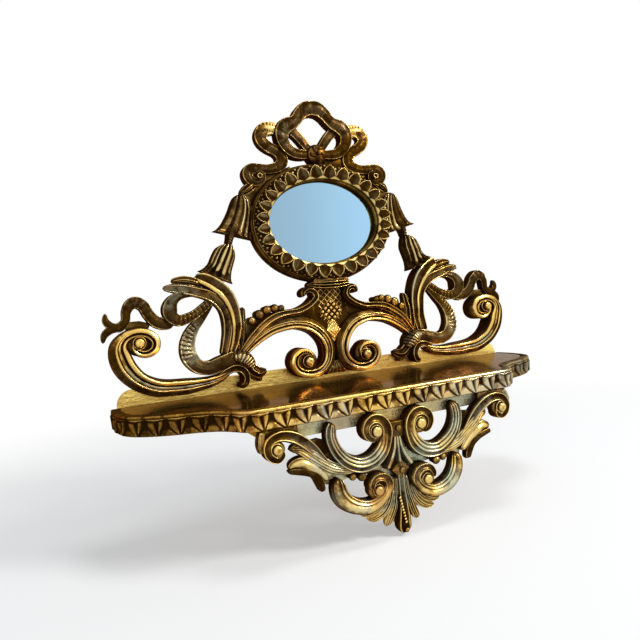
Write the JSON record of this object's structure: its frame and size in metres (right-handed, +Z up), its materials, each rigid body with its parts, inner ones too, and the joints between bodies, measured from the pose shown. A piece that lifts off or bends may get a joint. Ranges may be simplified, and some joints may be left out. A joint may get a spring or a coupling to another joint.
{
  "type": "carved wall mirror with shelf",
  "caption": "Gilded rococo wall mirror: a small oval glass in carved scrolls and a bow, above a serpentine shelf with a carved apron.",
  "frame": {"origin": "centre of the back rail's rear face, level with the top of the shelf", "axes": "+X to the viewer's right along the wall, +Y into the wall, +Z up"},
  "size_m": [0.5576, 0.179, 0.5144],
  "materials": {
    "scroll_gilt": "antique gold leaf on carved wood, satin gloss with dark brown patina in the hollows",
    "ribbon_gilt": "paler silver-gold leaf on carved wood, pleated, with dark patina between the pleats",
    "frame_gilt": "antique gold leaf on carved wood with a dark brown ground",
    "shelf_gilt": "brown-gold, glossy, lightly worn",
    "moulding_gilt": "gold leaf, satin, with dark hollows between the leaves",
    "apron_gilt": "cooler greenish gold leaf, satin, with dark patina in the hollows",
    "raw_wood": "bare, aged",
    "mirror_glass": "clear silvered glass, polished",
    "brass": "brushed, lightly tarnished",
    "steel": "plain"
  },
  "bodies": {
    "root": {"back_rail": "scroll_gilt", "shelf_board": "shelf_gilt", "shelf_moulding": "moulding_gilt", "moulding_leaves": "moulding_gilt", "apron_ground": "apron_gilt", "frieze_returns": "shelf_gilt", "hanger_plates": "brass", "plate_screws": "brass", "rail_screws": "brass", "crest_dowels": "raw_wood", "apron_dowels": "raw_wood", "mirror_glass": "mirror_glass", "mirror_backing": "raw_wood", "backing_pins": "steel", "oval_frame": "frame_gilt", "oval_leaf_ring": "frame_gilt", "oval_pearls": "frame_gilt", "sight_edge": "frame_gilt", "end_scroll_left": "scroll_gilt", "end_scroll_right": "scroll_gilt", "ribbon_tail_left": "ribbon_gilt", "ribbon_tail_right": "ribbon_gilt", "ribbon_loop_left": "ribbon_gilt", "ribbon_loop_right": "ribbon_gilt", "ribbon_fall_left": "ribbon_gilt", "ribbon_fall_right": "ribbon_gilt", "stem_left": "scroll_gilt", "stem_right": "scroll_gilt", "upright_leaves": "scroll_gilt", "cuff_left": "scroll_gilt", "cuff_right": "scroll_gilt", "foot_leaf_left": "scroll_gilt", "foot_leaf_right": "scroll_gilt", "centre_scroll_left": "scroll_gilt", "centre_scroll_right": "scroll_gilt", "arch_strand_left": "scroll_gilt", "arch_strand_right": "scroll_gilt", "bead_rows": "scroll_gilt", "cartouche": "scroll_gilt", "collar": "scroll_gilt", "axis_ornaments": "scroll_gilt", "upper_bell_left": "ribbon_gilt", "upper_bell_right": "ribbon_gilt", "lower_bell_left": "ribbon_gilt", "lower_bell_right": "ribbon_gilt", "shoulder_leaves": "scroll_gilt", "bow_ribbon_left": "scroll_gilt", "bow_ribbon_right": "scroll_gilt", "bow_loop_left": "scroll_gilt", "bow_loop_right": "scroll_gilt", "bow_knot": "scroll_gilt", "apron_leaf_left": "apron_gilt", "apron_leaf_right": "apron_gilt", "apron_scroll_left": "apron_gilt", "apron_scroll_right": "apron_gilt", "lower_scroll_left": "apron_gilt", "lower_scroll_right": "apron_gilt", "corner_leaves": "apron_gilt", "palmette": "apron_gilt", "pendant": "apron_gilt"}
  },
  "joints": []
}
